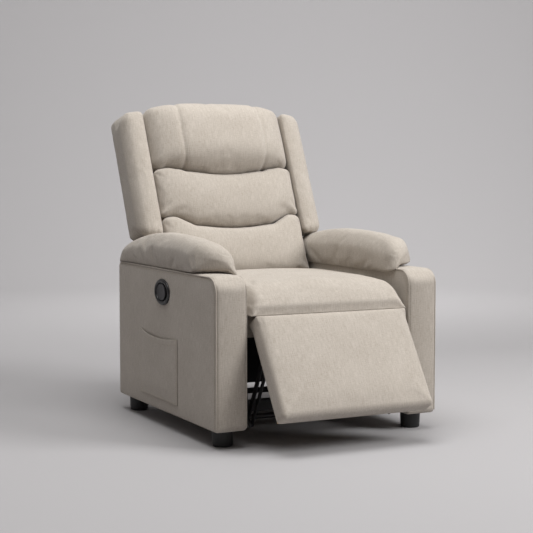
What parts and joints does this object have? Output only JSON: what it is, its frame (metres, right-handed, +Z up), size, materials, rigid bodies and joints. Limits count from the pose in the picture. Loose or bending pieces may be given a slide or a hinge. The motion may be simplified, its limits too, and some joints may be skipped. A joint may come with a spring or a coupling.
{
  "type": "recliner armchair",
  "caption": "Upholstered recliner armchair with padded arms, a winged reclining back and a linkage footrest shown part open.",
  "frame": {"origin": "middle of the overall footprint, on the floor, with the footrest part open", "axes": "+Z up; -Y is the way the sitter faces; +X is to the right of someone facing the chair, so the release handle is on the -X arm"},
  "size_m": [0.7684, 1.1388, 1.0465],
  "materials": {
    "upholstery_fabric": "oatmeal woven chenille, matt, fine vertical slubs",
    "lining_fabric": "same cloth, flat panel",
    "webbing": "woven elastic webbing",
    "plywood": "raw birch plywood",
    "black_steel": "black powder coat",
    "spring_steel": "oiled spring wire",
    "foot_plastic": "moulded black plastic, fine grain",
    "handle_plastic": "moulded black plastic, satin",
    "cable_sheath": "extruded black sheath"
  },
  "bodies": {
    "root": {"arm_cover_left": "upholstery_fabric", "arm_cover_right": "upholstery_fabric", "arm_frame_left": "plywood", "arm_frame_right": "plywood", "arm_pad_left": "upholstery_fabric", "arm_pad_right": "upholstery_fabric", "base_rail_left": "black_steel", "base_rail_right": "black_steel", "foot_front_left": "foot_plastic", "foot_front_right": "foot_plastic", "foot_rear_left": "foot_plastic", "foot_rear_right": "foot_plastic", "front_cross_rail": "black_steel", "handle_bezel": "handle_plastic", "paddle_pin": "spring_steel", "rear_cross_board": "plywood", "rear_cross_tube": "black_steel", "release_cable": "cable_sheath", "seat_cushion": "upholstery_fabric", "seat_front_rail": "plywood", "seat_rear_rail": "plywood", "seat_side_rail_left": "plywood", "seat_side_rail_right": "plywood", "seat_spring_1": "spring_steel", "seat_spring_2": "spring_steel", "seat_spring_3": "spring_steel", "seat_spring_4": "spring_steel", "side_plate_left": "black_steel", "side_plate_right": "black_steel", "side_pocket": "upholstery_fabric"},
    "back": {"back_bottom_rail": "plywood", "back_bracket_left": "black_steel", "back_bracket_right": "black_steel", "back_post_left": "plywood", "back_post_right": "plywood", "back_rear_panel": "lining_fabric", "back_top_rail": "plywood", "back_web_1": "webbing", "back_web_2": "webbing", "head_cushion": "upholstery_fabric", "lumbar_cushion": "upholstery_fabric", "middle_cushion": "upholstery_fabric", "wing_left": "upholstery_fabric", "wing_right": "upholstery_fabric"},
    "footrest": {"footrest_pad": "upholstery_fabric", "footrest_board": "plywood", "footrest_bracket_left": "black_steel", "footrest_bracket_right": "black_steel"},
    "drive_links": {"drive_link_left": "black_steel", "drive_link_right": "black_steel", "drive_tube": "black_steel"},
    "carrier_links": {"carrier_link_left": "black_steel", "carrier_link_right": "black_steel"},
    "rear_links": {"rear_link_left": "black_steel", "rear_link_right": "black_steel"},
    "push_links": {"push_link_left": "black_steel", "push_link_right": "black_steel"},
    "bridge_flap": {"bridge_flap": "lining_fabric"},
    "handle_paddle": {"handle_paddle": "handle_plastic"},
    "release_latch": {"release_latch": "black_steel"}
  },
  "joints": [
    {"name": "back_recline", "type": "hinge", "parent": "root", "child": "back", "pos_m": [0, 0.23553, 0.38], "axis": [-1, 0, 0], "range_deg": [0, 30]},
    {"name": "footrest_drive", "type": "hinge", "parent": "root", "child": "drive_links", "pos_m": [0, -0.28947, 0.262], "axis": [-1, 0, 0], "range_deg": [-32.6, 53.4]},
    {"name": "carrier_swing", "type": "hinge", "parent": "drive_links", "child": "carrier_links", "pos_m": [0, -0.30548, 0.07519], "axis": [-1, 0, 0], "range_deg": [-53.4, 32.6]},
    {"name": "footrest_tilt", "type": "hinge", "parent": "carrier_links", "child": "footrest", "pos_m": [0, -0.39621, 0.2444], "axis": [-1, 0, 0], "range_deg": [-32.6, 53.4]},
    {"name": "rear_link_swing", "type": "hinge", "parent": "root", "child": "rear_links", "pos_m": [0, -0.25469, 0.25268], "axis": [-1, 0, 0], "range_deg": [-32.6, 53.4]},
    {"name": "push_link_swing", "type": "hinge", "parent": "drive_links", "child": "push_links", "pos_m": [0, -0.33021, 0.05649], "axis": [-1, 0, 0], "range_deg": [-53.4, 32.6]},
    {"name": "flap_swing", "type": "hinge", "parent": "root", "child": "bridge_flap", "pos_m": [0, -0.29647, 0.384], "axis": [-1, 0, 0], "range_deg": [-29.2, 47.8]},
    {"name": "paddle_pull", "type": "hinge", "parent": "root", "child": "handle_paddle", "pos_m": [-0.3781, 0.04953, 0.43], "axis": [0, 0, -1], "range_deg": [0, 28], "stiffness_Nm_per_rad": 0.6, "springref_deg": -11.46},
    {"name": "latch_swing", "type": "hinge", "parent": "root", "child": "release_latch", "pos_m": [-0.25, 0.02053, 0.205], "axis": [-1, 0, 0], "range_deg": [0, 20]}
  ],
  "couplings": [
    {"joint": "carrier_swing", "follows": "footrest_drive", "ratio": -1},
    {"joint": "footrest_tilt", "follows": "footrest_drive", "ratio": 1},
    {"joint": "rear_link_swing", "follows": "footrest_drive", "ratio": 1},
    {"joint": "push_link_swing", "follows": "footrest_drive", "ratio": -1},
    {"joint": "flap_swing", "follows": "footrest_drive", "ratio": 0.895},
    {"joint": "latch_swing", "follows": "paddle_pull", "ratio": 0.7}
  ]
}
